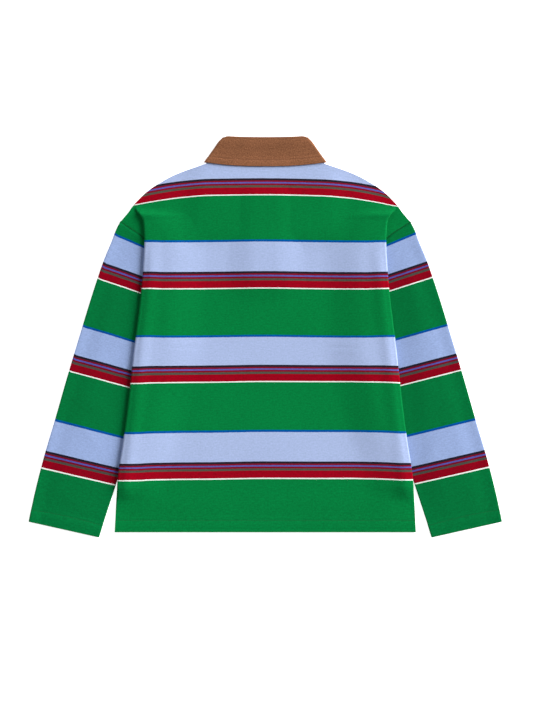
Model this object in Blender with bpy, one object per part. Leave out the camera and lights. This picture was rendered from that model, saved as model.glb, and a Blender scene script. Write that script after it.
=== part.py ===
# A long-sleeve polo shirt laid flat on its front, back up.
# X runs to the right, Y towards the neck and Z up. The origin is the middle of the shirt's
# box, on the surface it lies on. Lengths are in millimetres and become metres in add_mesh.
# The two halves mirror each other, so every piece is worked out for X > 0 first.

import bpy
import numpy as np

# Cloth and layers
cloth = 1.2            # jersey wall
hem_cloth = 1.8        # jersey with its hem turned up
rib_cloth = 1.6        # flat-knit collar wall
layer_gap = 0.7        # between two layers that lie on each other
seam_gap = 0.35        # between two pieces at a seam
fold_radius = 1.85     # of the mid line of front and back where both fold together
loft = 2.3             # extra room between front and back in the middle of the body

# Cut and lay of the body, half widths measured from the centre line
hem_y = -362.0
hem_depth = 22.0
neck_y = 324.0
neck_half = 104.0
back_neck_drop = 4.0
front_neck_y = 262.0
neck_curve = 2.4       # power of the neckline curve, higher is squarer
shoulder_y = 212.4     # where shoulder, sleeve and outline meet
underarm_y = -16.0
chest_half = 295.0     # centre to side seam along the cloth, at the underarm
hem_half = 278.5       # the same at the hem
cover_ramp = 80.0      # length over which the body rises onto the sleeve
cover_margin = 3.0     # from the end of that rise to the turned-under cloth
pair_ramp = 60.0       # length over which front and back part, from the sides and the hem
neck_ramp = 70.0       # the same below the neck
covered_loft = 0.8     # share of the loft that is lost over the sleeve
full_lift = 6.0        # height of the body's edge at which that loss is complete
cap_y = 235.0          # cloth lies turned under below this height ...
cap_under = 6.0        # ... so wide where shoulder, sleeve and outline meet
side_ramp = 12.0       # below the underarm, length over which the seam edge turns back
tuck_y, tuck_ramp = -305.0, 40.0    # the sides lie tucked under above this height
rest_y, rest_ramp = -292.0, 22.0    # the seam edge rests on its own fold above this height

# Collar, half widths and heights of its loops
collar_mid_z = 3.9
stand_reach = 1.1      # mid height of the stand above and below collar_mid_z
fall_reach = 3.1       # the same for the fall
collar_top_y = 370.9
collar_top_half = 79.2
collar_top_drop = 2.2  # how far the centre back lies below the sides, at the top
fall_edge_half = 112.6
fall_edge_y = 321.5
fall_edge_drop = 7.2   # the same at the free edge
stand_front = 24.0     # height of the stand at the centre front
leaf_depth = 86.0      # from the fold line down to the collar's points
leaf_spread = 44.0     # how far the points lie from the centre line
leaf_lift = 2.2        # height of the front above the collar's front leaves
leaf_x, leaf_y = 114.0, 200.0       # the leaves lie within this X and above this Y
leaf_ramp = 45.0
front_end = 1.5        # half the room between the collar's ends at the seam
front_end_spread = 1.0 # what it gains up to the fold line
seam_spread = 1.0      # how much wider the stand is at the seam than the neckline
back_columns, front_columns = 6, 7

# Placket and buttons, on the underside
slit_half = 0.6
placket_half = 15.0
placket_top_y = 261.0
placket_bottom_y = 126.0
placket_rows = 6
placket_column = 18.0  # the front is level out to this line
placket_margin = 1.0   # beyond it the front sinks,
placket_below = 8.0    # below the placket as well,
placket_ramp = 60.0    # over this length,
slit_ramp = 40.0       # and over this one at the neckline,
slit_margin = 2.0      # from so far inside it
placket_lift = 3.8
button_radius = 6.0
button_height = 1.8
button_chamfer = 0.5
button_sides = 16
button_ys = (242.0, 194.0, 146.0)

# Outline of the shoulder and of the sleeve's outer edge
outline = {
    "y": (-342.0, -302.0, -228.0, -154.0, -80.0, -6.0, 67.0, 104.0, 141.0, 174.5, 196.7, 207.8,
          218.9, 230.0, 241.1, 252.2, 263.3, 274.4, 285.5, 296.6, 305.8, 311.4, 316.9, 319.5,
          324.0),
    "half": (437.0, 429.2, 410.7, 388.9, 367.8, 345.6, 323.4, 311.4, 298.5, 284.6, 276.2, 270.5,
             262.0, 252.6, 245.0, 234.9, 223.5, 209.6, 191.9, 171.8, 149.6, 133.6, 117.0, 109.0,
             104.0)}

# The body's visible side edge, where front and back fold under over the sleeve
body_edge = {
    "y": (-362.0, -266.0, -192.0, -116.0, -55.0, -3.0, 87.5, 140.0, 174.5, 205.0, 215.0, 221.0,
          226.0, 230.0, 235.0, 241.0, 249.0),
    "half": (278.5, 273.2, 262.4, 252.5, 246.0, 239.8, 229.0, 225.0, 223.5, 225.0, 226.6, 229.2,
             232.8, 236.8, 241.5, 243.0, 236.0)}

# The armhole seam in plan, and the inner fold line beside it
armhole = {
    "y": (-16.0, 10.0, 45.0, 85.0, 122.0, 150.0, 172.0, 190.0, 202.0, 212.4),
    "half": (193.0, 199.0, 198.5, 196.0, 194.5, 200.5, 214.0, 234.0, 252.5, 268.0),
    "inner": (190.0, 195.5, 195.0, 192.5, 190.5, 188.0, 191.0, 198.5, 205.0, 212.0)}

# How far the body's edge turns under, in degrees: 0 is flat and 180 is folded back
turn = {
    "y": (-362.0, -328.0, -315.0, -303.0, -293.0, -283.0, -270.0, 215.0, 221.0, 226.0, 230.0,
          235.0, 241.0, 249.0),
    "angle": (0.0, 0.0, 20.0, 60.0, 110.0, 150.0, 180.0, 180.0, 168.0, 135.0, 100.0, 60.0, 25.0,
              0.0)}

# Rows of the body, top to bottom, by the height of their outer ends
row_ys = (324.0, 319.5, 315.0, 300.0, 283.0, 264.0, 249.0, 241.0, 235.0, 230.0, 228.0, 226.0,
          221.0, 212.4, 202.0, 190.0, 172.0, 150.0, 122.0, 85.0, 45.0, 10.0, -16.0, -19.0, -22.0,
          -28.0, -70.0, -130.0, -195.0, -250.0, -270.0, -280.0, -287.0, -293.0, -303.0, -315.0,
          -328.0, -339.5, -340.5, -362.0)
level_row = 6          # rows above this one slope from the neckline to the shoulder
slit_rows = 18         # rows above this one are parted by the placket's slit

# Columns of half a row: flat cloth, fold, turned-under cloth, fold back, cloth to the armhole
flat_cells, fold_cells, under_cells, end_cells = 7, 3, 1, 2
least_cell = 1.0       # width of a cell at least, where the cloth folds back
open_cell = 2.5        # what that gains where the cloth lies flat

# Sleeve: rings from the armhole to the cuff, by their share of the length
ring_shares = (0.0, 0.07, 0.15, 0.25, 0.36, 0.48, 0.6, 0.72, 0.84, 0.9)
hem_step = 0.001       # half the step from cloth to turned-up hem, as such a share
cuff_outer = (435.3, -343.0)
cuff_inner = (309.5, -371.2)
inner_slope = 0.33     # how far the inner edge moves out for each unit down, at the cuff
lap_y = -270.0         # the body lies over the sleeve above this height
sleeve_loft = 2.0
outer_ramp = 45.0      # length over which that loft rises from the outer fold
inner_ramp = 40.0      # the same beside the body,
inner_margin = 6.0     # from so far outside its edge
cap_share = 0.2        # share of the length over which it rises below the armhole
cuff_share = 0.8       # and sinks above the cuff

green = (0.002, 0.195, 0.050, 1.0)
blue = (0.43, 0.52, 0.80, 1.0)
brown = (0.245, 0.11, 0.058, 1.0)
ivory = (0.78, 0.74, 0.66, 1.0)


def smooth_step(value):
    """0 below 0, 1 above 1, and an S between."""
    v = np.clip(value, 0.0, 1.0)
    return v * v * (3.0 - 2.0 * v)


def smooth_through(xs, ys, at):
    """A monotone cubic through the points; xs rise."""
    xs, ys, at = (np.asarray(v, float) for v in (xs, ys, at))
    step = np.diff(xs)
    rise = np.diff(ys) / step
    both = rise[:-1] * rise[1:]
    mean = 2.0 * both / np.where(both > 0, rise[:-1] + rise[1:], 1.0)
    slope = np.concatenate([rise[:1], np.where(both > 0, mean, 0.0), rise[-1:]])
    i = np.clip(np.searchsorted(xs, at) - 1, 0, len(step) - 1)
    t = np.clip((at - xs[i]) / step[i], 0.0, 1.0)
    low = ys[i] * (1 + 2 * t) * (1 - t) ** 2 + ys[i + 1] * t * t * (3 - 2 * t)
    return low + step[i] * (slope[i] * t * (1 - t) ** 2 - slope[i + 1] * t * t * (1 - t))


def column(table, name, y):
    return smooth_through(table["y"], table[name], y)


def wall_at(y):
    """Cloth thickness of the body at a height: thicker where the hem is turned up."""
    return np.where(y < hem_y + hem_depth, hem_cloth, cloth)


def body_row(y):
    """The lay of one row of the body: where it folds, how far, and where it ends."""
    wall = float(wall_at(y))
    half_pair = wall + layer_gap / 2
    angle = np.radians(float(column(turn, "angle", y)))
    edge = float(column(body_edge, "half", y))
    start = edge - (half_pair + fold_radius) * np.sin(min(angle, np.pi / 2))
    row = {"y": y, "wall": wall, "half_pair": half_pair, "angle": angle, "end_angle": 0.0}
    if y >= body_edge["y"][-1]:
        start = float(column(outline, "half", y))
        row.update(under=0.0, after=0.0, floor=half_pair)
    elif y >= underarm_y:
        seam = float(column(outline if y > shoulder_y else armhole, "half", y))
        if y > armhole["y"][-1]:
            under = cap_under * smooth_step((cap_y - y) / (cap_y - shoulder_y))
        else:
            under = start - float(column(armhole, "inner", y))
        reach = start + 2 * fold_radius * np.sin(angle) + under * np.cos(angle)
        row.update(under=under, after=seam - reach, floor=half_pair)
    else:
        share = (underarm_y - y) / (underarm_y - hem_y)
        cut_half = chest_half + (hem_half - chest_half) * share
        end_angle = angle * smooth_step((underarm_y - y) / side_ramp)
        under = max(cut_half - start - fold_radius * (2 * angle - end_angle), 0.0)
        under = under * smooth_step((y - tuck_y) / tuck_ramp)
        raised = smooth_step((y - rest_y) / rest_ramp) * fold_radius * (1 - np.cos(end_angle))
        row.update(under=under, after=0.0, floor=half_pair + raised, end_angle=end_angle)
        if angle == 0:
            start = edge
    row["start"] = start
    drop = fold_radius * (1 - np.cos(angle)) + row["under"] * np.sin(angle)
    drop += fold_radius * (np.cos(row["end_angle"]) - np.cos(angle))
    row["edge_lift"] = row["floor"] + drop - half_pair
    inside = start - row["under"] - fold_radius - half_pair
    row["full"] = inside - cover_margin if angle > 0 else start
    return row


def cover_share(x, row):
    """0 where the body lies on the surface, 1 where it lies over the sleeve."""
    return smooth_step((x - row["full"] + cover_ramp) / cover_ramp)


def front_lift(x, y, row):
    """Height of the front's underside: over the sleeves, the collar's leaves and the placket."""
    edge = row["edge_lift"] * cover_share(x, row)
    leaf = np.hypot(np.maximum(x - leaf_x, 0.0), np.maximum(leaf_y - y, 0.0))
    over_leaf = leaf_lift * (1 - smooth_step(leaf / leaf_ramp))
    beside = 1 - smooth_step((x - placket_column - placket_margin) / placket_ramp)
    below = 1 - smooth_step((placket_bottom_y - placket_below - y) / placket_ramp)
    above = 1 - smooth_step((y - front_neck_y - slit_margin) / slit_ramp)
    return edge + np.maximum(over_leaf, placket_lift * beside * below * above)


def pair_gap(x, y, row):
    """Room between front and back: least at the edges, most in the middle of the body."""
    from_edge = smooth_step((row["start"] - x) / pair_ramp)
    from_ends = smooth_step((y - hem_y) / pair_ramp) * smooth_step((neck_y - y) / neck_ramp)
    covered = np.minimum(row["edge_lift"] / full_lift, 1.0) * cover_share(x, row)
    return layer_gap + loft * from_edge * from_ends * (1 - covered_loft * covered)


def row_stations(row, first):
    """Distances along a row's cloth, from the centre line to its seam, one for each column."""
    fold = fold_radius * row["angle"]
    fold_back = fold_radius * (row["angle"] - row["end_angle"])
    marks = np.cumsum([row["start"], fold, row["under"], fold_back, row["after"]])
    least = least_cell + open_cell * (1 - np.sin(row["angle"] / 2))
    b4 = min(marks[3], marks[4] - end_cells * least)
    b3 = min(marks[2], b4 - fold_cells * least)
    b2 = min(marks[1], b3 - under_cells * least)
    b1 = min(marks[0], b2 - fold_cells * least)
    ends = ((b1, b2, fold_cells), (b2, b3, under_cells), (b3, b4, fold_cells),
            (b4, marks[4], end_cells))
    flat = np.linspace(placket_column, b1, flat_cells)
    return np.concatenate([[first], flat] + [np.linspace(low, high, cells + 1)[1:]
                                             for low, high, cells in ends])


def row_path(row, s, y_inner):
    """Mid line of front and back along a row, its normal, and the room between them.

    Flat cloth, an arc turned down by the row's angle, a straight stretch turned under,
    an arc back to the end angle, and a straight stretch to the seam.
    """
    r, a, e = fold_radius, row["angle"], row["end_angle"]
    m1 = row["start"]
    m2 = m1 + r * a
    m3 = m2 + row["under"]
    m4 = m3 + r * (a - e)
    length = m4 + row["after"]
    y = y_inner + (row["y"] - y_inner) * (np.minimum(s, length) / length) ** neck_curve
    gap = pair_gap(s, y, row)
    x = np.minimum(s, m1)
    z = np.where(s > m1, row["edge_lift"] + row["half_pair"],
                 front_lift(x, y, row) + row["wall"] + gap / 2)
    t = np.clip((s - m1) / r, 0.0, a)
    x = x + r * np.sin(t)
    z = z - r * (1 - np.cos(t))
    u = np.clip(s - m2, 0.0, row["under"])
    x = x + u * np.cos(a)
    z = z - u * np.sin(a)
    b = a - np.clip((s - m3) / r, 0.0, a - e)
    x = x + r * (np.sin(a) - np.sin(b))
    z = z - r * (np.cos(b) - np.cos(a))
    v = np.maximum(s - m4, 0.0)
    x = x + v * np.cos(e)
    z = z - v * np.sin(e)
    heading = np.where(s > m3, b, t)
    gap = np.where(s > m1, layer_gap, gap)
    mid = np.stack([x, y, z], axis=-1)
    normal = np.stack([np.sin(heading), 0 * x, np.cos(heading)], axis=-1)
    return mid, normal, gap


def body_grids(inner_ys, first):
    """Points of back and front for X > 0: four grids, each rows by columns."""
    grids = {"back_top": [], "back_low": [], "front_top": [], "front_low": []}
    for y, y_inner in zip(row_ys, inner_ys):
        row = body_row(y)
        mid, normal, gap = row_path(row, row_stations(row, first), y_inner)
        half = (gap / 2)[:, None]
        grids["back_top"].append(mid + normal * (half + row["wall"]))
        grids["back_low"].append(mid + normal * half)
        grids["front_top"].append(mid - normal * half)
        grids["front_low"].append(mid - normal * (half + row["wall"]))
    return {name: np.array(rows) for name, rows in grids.items()}


def both_halves(grid, shared):
    """A half grid and its mirror side by side; shared says that they meet in one column."""
    mirror = grid[:, ::-1] * np.array([-1.0, 1.0, 1.0])
    return np.concatenate([mirror[:, :-1] if shared else mirror, grid], axis=1)


def add_mesh(name, points, faces, colour, roughness):
    """One named object with its own material; points come in millimetres."""
    mesh = bpy.data.meshes.new(name)
    mesh.from_pydata((np.asarray(points) / 1000.0).tolist(), [], faces)
    mesh.update()
    for polygon in mesh.polygons:
        polygon.use_smooth = True
    mesh.set_sharp_from_angle(angle=np.radians(40.0))
    material = bpy.data.materials.new(name + "_cloth")
    material.use_nodes = True
    shader = material.node_tree.nodes["Principled BSDF"]
    shader.inputs["Base Color"].default_value = colour
    shader.inputs["Roughness"].default_value = roughness
    mesh.materials.append(material)
    piece = bpy.data.objects.new(name, mesh)
    bpy.context.collection.objects.link(piece)
    return piece


def add_wall(name, top, low, colour, cells=None, ring=False, roughness=0.85):
    """A closed wall between two grids of points that face each other.

    cells marks the cells that are cloth; ring joins the last column to the first.
    Rows run down and columns to the right, seen from the side that top faces. The cells
    of the two halves are cut in two along opposite diagonals, so that the halves mirror.
    """
    rows, columns = top.shape[:2]
    across = columns if ring else columns - 1
    if cells is None:
        cells = np.ones((rows - 1, across), bool)
    low_start = rows * columns

    def corner(i, j, side):
        return side * low_start + i * columns + j % columns

    def is_cloth(i, j):
        if ring:
            j %= columns
        return 0 <= i < rows - 1 and 0 <= j < across and cells[i, j]

    faces = []
    for i in range(rows - 1):
        for j in range(across):
            if not cells[i, j]:
                continue
            a, b, c, d = ((i, j), (i + 1, j), (i + 1, j + 1), (i, j + 1))
            upper = [corner(*p, 0) for p in (a, b, c, d)]
            lower = [corner(*p, 1) for p in (a, b, c, d)]
            turned = int(2 * j < across)
            order = [(turned + n) % 4 for n in range(4)]
            for p, q, r in (order[:3], order[:1] + order[2:]):
                faces += [(upper[p], upper[q], upper[r]), (lower[r], lower[q], lower[p])]
            beside = ((i, j - 1), (i + 1, j), (i, j + 1), (i - 1, j))
            for k, neighbour in enumerate(beside):
                if not is_cloth(*neighbour):
                    n = (k + 1) % 4
                    faces += [(upper[n], upper[k], lower[k]), (upper[n], lower[k], lower[n])]
    points = np.concatenate([top.reshape(-1, 3), low.reshape(-1, 3)])
    used = sorted({index for face in faces for index in face})
    place = {index: n for n, index in enumerate(used)}
    faces = [tuple(place[index] for index in face) for face in faces]
    return add_mesh(name, points[used], faces, colour, roughness)


def add_body():
    """Back and front, folded together along the sides."""
    rows = len(row_ys)
    fan = np.clip(np.arange(rows) / level_row, 0.0, 1.0)
    outer = np.array(row_ys)
    back_inner = outer - back_neck_drop * (1 - fan)
    front_inner = front_neck_y + (row_ys[level_row] - front_neck_y) * fan
    front_inner[level_row:] = outer[level_row:]
    back = body_grids(back_inner, 0.0)
    front = body_grids(front_inner, slit_half)
    add_wall("back_panel", both_halves(back["back_top"], True),
             both_halves(back["back_low"], True), green)
    top, low = (both_halves(front[key], False) for key in ("front_top", "front_low"))
    cells = np.ones((rows - 1, top.shape[1] - 1), bool)
    cells[:slit_rows, top.shape[1] // 2 - 1] = False
    add_wall("front_panel", top, low, green, cells)


def unit(vectors):
    return vectors / np.linalg.norm(vectors, axis=-1, keepdims=True)


def sleeve_plan():
    """Plan of the sleeve: rings from armhole to cuff, by stations from outer to inner edge."""
    ys = np.array([y for y in row_ys if underarm_y <= y <= shoulder_y])
    seam = np.stack([column(armhole, "half", ys), ys], axis=-1)
    along = np.gradient(seam, axis=0)
    away = unit(np.stack([-along[:, 1], along[:, 0]], axis=-1))
    seam = seam + seam_gap * away
    walk = np.concatenate([[0.0], np.cumsum(np.linalg.norm(np.diff(seam, axis=0), axis=1))])
    share = walk / walk[-1]
    cuff = np.outer(1 - share, cuff_outer) + np.outer(share, cuff_inner)
    outer_shares, inner_shares = (
        np.array(ring_shares + (hem - hem_step, hem + hem_step, 1.0)) for hem in
        (1 - hem_depth / (seam[0, 1] - cuff_outer[1]), 1 - hem_depth / (seam[-1, 1] - cuff_inner[1])))
    outer_y = seam[0, 1] + (cuff_outer[1] - seam[0, 1]) * outer_shares
    outer_x = column(outline, "half", outer_y) - (cloth + layer_gap / 2)
    outer_x[0], outer_x[-1] = seam[0, 0], cuff_outer[0]
    straight = seam[0] + np.outer(outer_shares, cuff[0] - seam[0])
    shift = np.stack([outer_x, outer_y], axis=-1) - straight
    k = (outer_shares[:, None] + (inner_shares - outer_shares)[:, None] * share)[..., None]
    return (1 - k) * seam + k * cuff + (1 - share)[:, None] * shift[:, None], outer_shares


def sleeve_puff(x, y, share):
    """Swell of the sleeve's top: none at its folds, at the armhole and beside the body."""
    edge = np.where(y > lap_y, column(body_edge, "half", y), 0.0)
    edge = np.maximum(edge, cuff_inner[0] + (cuff_inner[1] - y) * inner_slope)
    from_outer = smooth_step((column(outline, "half", y) - x) / outer_ramp)
    from_inner = smooth_step((x - edge - inner_margin) / inner_ramp)
    from_cuff = 1 - cuff_share * smooth_step((share - cuff_share) / (1 - cuff_share))
    return sleeve_loft * from_outer * from_inner * smooth_step(share / cap_share) * from_cuff


def sleeve_grids():
    """Outer and inner faces of the flattened tube, for X > 0."""
    plan, shares = sleeve_plan()
    walls = [cloth] * (len(ring_shares) + 1) + [hem_cloth] * 2
    outside, inside = [], []
    for line, share, wall in zip(plan, shares, walls):
        middle, reach = wall + layer_gap / 2, (wall + layer_gap) / 2
        x, y = line[:, 0], line[:, 1]
        up = np.stack([0 * x, 0 * x, 0 * x + 1.0], axis=-1)
        top = np.stack([x, y, middle + reach + sleeve_puff(x, y, share)], axis=-1)[::-1]
        low = np.stack([x, y, 0 * x + middle - reach], axis=-1)
        noses = []
        for edge, beside, turns in ((line[0], line[1], (60.0, 120.0)),
                                    (line[-1], line[-2], (120.0, 60.0))):
            way, turns = unit(edge - beside), np.radians(turns)
            normal = np.stack([way[0] * np.sin(turns), way[1] * np.sin(turns), np.cos(turns)],
                              axis=-1)
            noses.append((np.array([edge[0], edge[1], middle]) + reach * normal, normal))
        mid = np.concatenate([top, noses[0][0], low, noses[1][0]])
        normal = np.concatenate([up, noses[0][1], -up, noses[1][1]])
        outside.append(mid + normal * wall / 2)
        inside.append(mid - normal * wall / 2)
    return np.array(outside), np.array(inside)


def add_sleeves():
    outside, inside = sleeve_grids()
    mirror = np.array([-1.0, 1.0, 1.0])
    add_wall("sleeve_right", outside, inside, blue, ring=True)
    add_wall("sleeve_left", outside[:, ::-1] * mirror, inside[:, ::-1] * mirror, blue, ring=True)


def collar_section(half, curve, reach, side, back_drop, front, end):
    """A section: the half width of its flat back and of its curve, its reach from the collar's
    middle height, its place in Y at the side, how far the centre back lies below that, its
    place in Y at the centre front, and where its front end lies."""
    return {"half": half, "curve": curve, "reach": reach, "back": side - back_drop,
            "back_rise": back_drop, "front": front, "front_rise": side - front, "end": end}


def collar_sections():
    """Sections of the collar from the neck seam over the fold line to the fall's free edge."""
    bend = (fall_reach - stand_reach) / 2
    fold_y = collar_top_y - bend - rib_cloth / 2
    seam_y = neck_y + seam_gap
    front_y = front_neck_y + seam_gap
    top_half = collar_top_half - fall_reach
    edge_half = fall_edge_half - fall_reach
    sections = []
    for share in (0.0, 0.5, 1.0):
        curve = neck_half + share * (top_half - neck_half)
        sections.append(collar_section(
            curve + seam_spread * (1 - share), curve, stand_reach,
            seam_y + share * (fold_y - seam_y),
            back_neck_drop + (collar_top_drop - back_neck_drop) * share,
            front_y + stand_front * share, front_end + front_end_spread * share))
    for turned in np.radians((60.0, 120.0)):
        rise = bend * np.sin(turned)
        sections.append(collar_section(
            top_half, top_half, stand_reach + bend * (1 - np.cos(turned)), fold_y + rise,
            collar_top_drop, front_y + stand_front + rise, front_end + front_end_spread))
    for share in (0.0, 0.33, 0.67, 1.0):
        half = top_half + share * (edge_half - top_half)
        sections.append(collar_section(
            half, half, fall_reach, fold_y + share * (fall_edge_y - fold_y),
            collar_top_drop + (fall_edge_drop - collar_top_drop) * share,
            front_y + stand_front - leaf_depth * share,
            front_end + front_end_spread + leaf_spread * share))
    return sections


def collar_line(section):
    """One loop of the collar for X > 0: centre back, round the side, to the centre front."""
    flat, r = section["half"], section["reach"]
    x = np.linspace(0.0, flat, back_columns)
    back_y = section["back"] + section["back_rise"] * (x / section["curve"]) ** neck_curve
    back = np.stack([x, back_y, 0 * x + collar_mid_z + r], axis=-1)
    x = np.linspace(flat, section["end"], front_columns)
    front_y = section["front"] + section["front_rise"] * (x / section["curve"]) ** neck_curve
    front = np.stack([x, front_y, 0 * x + collar_mid_z - r], axis=-1)
    turned = np.radians((45.0, 90.0, 135.0))
    side_y = back_y[-1] + (front_y[0] - back_y[-1]) * turned / np.pi
    side_x, side_z = flat + r * np.sin(turned), collar_mid_z + r * np.cos(turned)
    side = np.stack([side_x, side_y, side_z], axis=-1)
    return np.concatenate([back, side, front])


def surface_normals(grid):
    down = np.gradient(grid, axis=0)
    along = np.gradient(grid, axis=1)
    return unit(np.cross(down, along))


def add_collar():
    """Stand and fall in one wall, from front end to front end round the back."""
    half = np.array([collar_line(section) for section in collar_sections()])
    mid = both_halves(half, True)
    normal = surface_normals(mid)
    add_wall("collar", mid + normal * rib_cloth / 2, mid - normal * rib_cloth / 2, brown,
             roughness=0.9)


def add_placket():
    """Two bands that cover the slit, one on the front's outer face and one behind it."""
    ys = np.linspace(placket_top_y, placket_bottom_y, placket_rows)
    xs = np.array((-placket_half, 0.0, placket_half))
    x, y = np.meshgrid(xs, ys)
    front_top = placket_lift + cloth
    for name, low in (("placket_over", placket_lift - layer_gap / 2 - cloth),
                      ("placket_under", front_top + layer_gap / 2)):
        bottom = np.stack([x, y, 0 * x + low], axis=-1)
        add_wall(name, bottom + np.array([0.0, 0.0, cloth]), bottom, green)


def add_buttons():
    """Plain discs with a chamfered rim, on the outer band."""
    angles = np.linspace(0.0, 2 * np.pi, button_sides, endpoint=False)
    inset = button_radius - button_chamfer
    profile = ((inset, 0.0), (button_radius, button_chamfer),
               (button_radius, button_height - button_chamfer), (inset, button_height))
    count = len(angles)
    for number, y in enumerate(button_ys, start=1):
        points = [(r * np.cos(a), y + r * np.sin(a), z) for r, z in profile for a in angles]
        faces = [tuple(range(count))[::-1], tuple(range(3 * count, 4 * count))]
        for k in range(len(profile) - 1):
            for j in range(count):
                n = (j + 1) % count
                faces.append((k * count + j, k * count + n, (k + 1) * count + n, (k + 1) * count + j))
        add_mesh(f"button_{number}", points, faces, ivory, 0.35)


for old in list(bpy.data.objects):
    bpy.data.objects.remove(old, do_unlink=True)
add_body()
add_sleeves()
add_collar()
add_placket()
add_buttons()
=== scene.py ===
# Long-sleeve polo shirt laid flat, back up: cloth, sewing, finishes, floor, light and camera.
# Sizes are in millimetres in the frame of the CAD, and become metres when a mesh is made.
import bpy
import numpy as np
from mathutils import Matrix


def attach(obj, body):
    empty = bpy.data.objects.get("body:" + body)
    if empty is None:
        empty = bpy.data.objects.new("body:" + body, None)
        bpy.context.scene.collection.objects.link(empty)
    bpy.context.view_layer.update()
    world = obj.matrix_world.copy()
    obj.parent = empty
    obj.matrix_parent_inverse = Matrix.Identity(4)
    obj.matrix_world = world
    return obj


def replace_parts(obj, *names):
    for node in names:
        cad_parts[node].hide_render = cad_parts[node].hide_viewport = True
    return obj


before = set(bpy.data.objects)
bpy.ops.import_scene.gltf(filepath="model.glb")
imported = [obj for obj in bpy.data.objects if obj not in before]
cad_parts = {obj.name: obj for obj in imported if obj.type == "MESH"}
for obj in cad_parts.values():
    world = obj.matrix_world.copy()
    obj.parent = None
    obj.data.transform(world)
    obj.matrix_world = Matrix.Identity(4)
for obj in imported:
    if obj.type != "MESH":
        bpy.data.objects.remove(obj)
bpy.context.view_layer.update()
print("frame loaded")

mm = 0.001

# the cloth and the lay of the body; half widths are measured from the centre line
body = {
    "cloth": 1.2, "hemCloth": 1.8, "layerGap": 0.7, "foldRadius": 1.85, "loft": 2.3,
    "hemY": -362.0, "hemDepth": 22.0, "hemSoft": 26.0, "neckY": 324.0, "neckHalf": 104.0,
    "backNeckDrop": 4.0, "frontNeckY": 262.0, "neckCurve": 2.4, "shoulderY": 212.4,
    "underarmY": -16.0, "chestHalf": 295.0, "hemHalf": 278.5,
    "coverRamp": 80.0, "coverMargin": 3.0,   # the body rises onto the sleeve, short of its fold
    "pairRamp": 60.0, "neckRamp": 70.0,      # front and back part over these lengths
    "coveredLoft": 0.8, "fullLift": 6.0,     # share of the loft that is lost over the sleeve
    "capY": 235.0, "capUnder": 6.0,          # cloth lies turned under below this height
    "sideRamp": 12.0,                        # the seam edge turns back below the underarm
    "tuckY": -305.0, "tuckRamp": 40.0,       # cloth starts to lie turned under here, ever wider
    "restY": -292.0, "restRamp": 22.0,       # and rests on the sleeve from here up
    "near": 0.1, "flatAngle": 0.01,          # heights this near are the same, such an angle is flat
    "levelRow": 6, "slitRow": 18,            # places in rowYs: the first level row, the slit's end
    "slitHalf": 0.6, "rowStep": 4.0, "leastCell": 1.0, "openCell": 2.5,
    "leastCells": (3, 1, 3, 2), "backCells": (84, 9, 8, 9, 8), "frontCells": (50, 6, 6, 6, 6)}

# half width of the whole shirt as it lies, from the cuffs to the neck
outline = {
    "y": (-342.0, -302.0, -228.0, -154.0, -80.0, -6.0, 67.0, 104.0, 141.0, 174.5, 196.7, 207.8,
          218.9, 230.0, 241.1, 252.2, 263.3, 274.4, 285.5, 296.6, 305.8, 311.4, 316.9, 319.5,
          324.0),
    "half": (437.0, 429.2, 410.7, 388.9, 367.8, 345.6, 323.4, 311.4, 298.5, 284.6, 276.2, 270.5,
             262.0, 252.6, 245.0, 234.9, 223.5, 209.6, 191.9, 171.8, 149.6, 133.6, 117.0, 109.0,
             104.0)}

# half width of the body, out to its side folds
bodyEdge = {
    "y": (-362.0, -266.0, -192.0, -116.0, -55.0, -3.0, 87.5, 140.0, 174.5, 205.0, 215.0, 221.0,
          226.0, 230.0, 235.0, 241.0, 249.0),
    "half": (278.5, 273.2, 262.4, 252.5, 246.0, 239.8, 229.0, 225.0, 223.5, 225.0, 226.6, 229.2,
             232.8, 236.8, 241.5, 243.0, 236.0)}

# the armhole's seam, and where the cloth that is turned under folds back out to it
armhole = {
    "y": (-16.0, 10.0, 45.0, 85.0, 122.0, 150.0, 172.0, 190.0, 202.0, 212.4),
    "half": (193.0, 199.0, 198.5, 196.0, 194.5, 200.5, 214.0, 234.0, 252.5, 268.0),
    "inner": (190.0, 195.5, 195.0, 192.5, 190.5, 188.0, 191.0, 198.5, 205.0, 212.0)}

# how far the cloth turns under at the side, in degrees
turn = {
    "y": (-362.0, -328.0, -315.0, -303.0, -293.0, -283.0, -270.0, 215.0, 221.0, 226.0, 230.0,
          235.0, 241.0, 249.0),
    "angle": (0.0, 0.0, 20.0, 60.0, 110.0, 150.0, 180.0, 180.0, 168.0, 135.0, 100.0, 60.0, 25.0,
              0.0)}

# rows of back and front, closest where their shape changes most; more are put between them
rowYs = (324.0, 319.5, 315.0, 300.0, 283.0, 264.0, 249.0, 241.0, 235.0, 230.0, 228.0, 226.0,
         221.0, 212.4, 202.0, 190.0, 172.0, 150.0, 122.0, 85.0, 45.0, 10.0, -16.0, -19.0, -22.0,
         -28.0, -70.0, -130.0, -195.0, -250.0, -270.0, -280.0, -287.0, -293.0, -303.0, -315.0,
         -328.0, -338.0, -339.2, -340.4, -341.6, -343.0, -359.5, -361.0, -361.7, -362.0)

# stripes: how far down one repeat each colour starts, and its colour; the way down the cloth is
# counted from so many repeats above the line of phase 0
stripes = {
    "repeat": 175.8, "above": 3.0,
    "start": (0.0, 3.45, 58.35, 61.9, 64.8, 67.7, 71.1, 75.1, 88.2, 90.3),
    "colour": ("royal", "sky", "navy", "wine", "violet", "wine", "sage", "red", "cream", "green")}

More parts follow.
